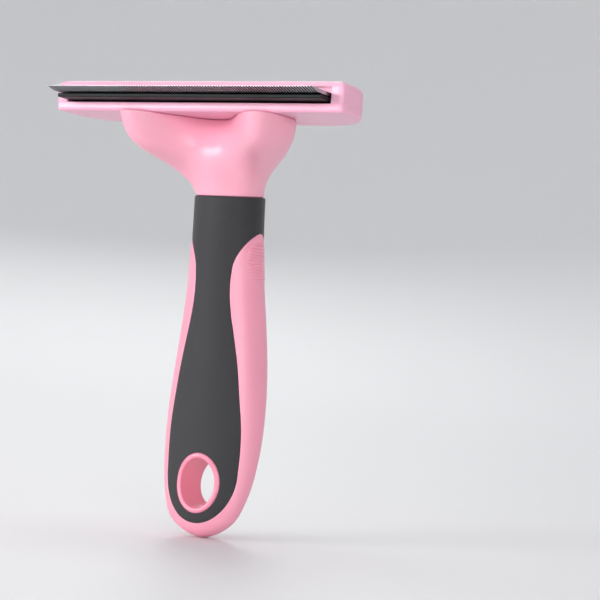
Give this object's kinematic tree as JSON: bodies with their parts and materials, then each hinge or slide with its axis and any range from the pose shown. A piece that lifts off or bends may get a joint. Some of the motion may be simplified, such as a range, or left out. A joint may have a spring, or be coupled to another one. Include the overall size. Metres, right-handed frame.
{
  "type": "pet deshedding comb",
  "caption": "Hand-held deshedding comb for pets: wide head with a fine-toothed steel blade, push-button hair ejector, forked neck and soft-grip handle with hanging hole.",
  "frame": {"origin": "centre of the hanging hole, on the handle's axis", "axes": "+Z along the handle towards the head, -Y the way the comb's teeth point, +X along the head"},
  "size_m": [0.11, 0.0587, 0.155],
  "materials": {
    "head_plastic": "satin moulded ABS, light pink",
    "neck_plastic": "satin moulded ABS, light pink",
    "handle_plastic": "satin moulded ABS, pink",
    "eyelet_plastic": "satin moulded ABS, pink",
    "soft_grip": "matte fine-grained thermoplastic rubber, dark grey",
    "button_plastic": "matte, dark grey",
    "slider_plastic": "natural moulded, pink",
    "blade_steel": "ground stainless steel, fine lengthwise brushing",
    "strip_steel": "satin stainless steel",
    "fastener_steel": "zinc plated",
    "spring_steel": "drawn wire"
  },
  "bodies": {
    "tool": {"head_top_shell": "head_plastic", "head_bottom_shell": "head_plastic", "comb_blade": "blade_steel", "blade_screws": "fastener_steel", "return_spring_right": "spring_steel", "return_spring_left": "spring_steel", "guide_pins": "fastener_steel", "neck": "neck_plastic", "neck_screws": "fastener_steel", "tenon_pins": "fastener_steel", "handle_core": "handle_plastic", "grip_overmould": "soft_grip", "hang_eyelet": "eyelet_plastic"},
    "ejector": {"ejector_strip": "strip_steel", "ejector_slider": "slider_plastic", "ejector_rivets": "fastener_steel", "push_button": "button_plastic", "button_screw": "fastener_steel"}
  },
  "joints": [
    {"name": "ejector_press", "type": "slide", "parent": "tool", "child": "ejector", "axis": [0, -1, 0], "range_m": [0, 0.006], "stiffness_N_per_m": 500, "springref_m": -0.003, "deforming": ["return_spring_right", "return_spring_left"]}
  ]
}
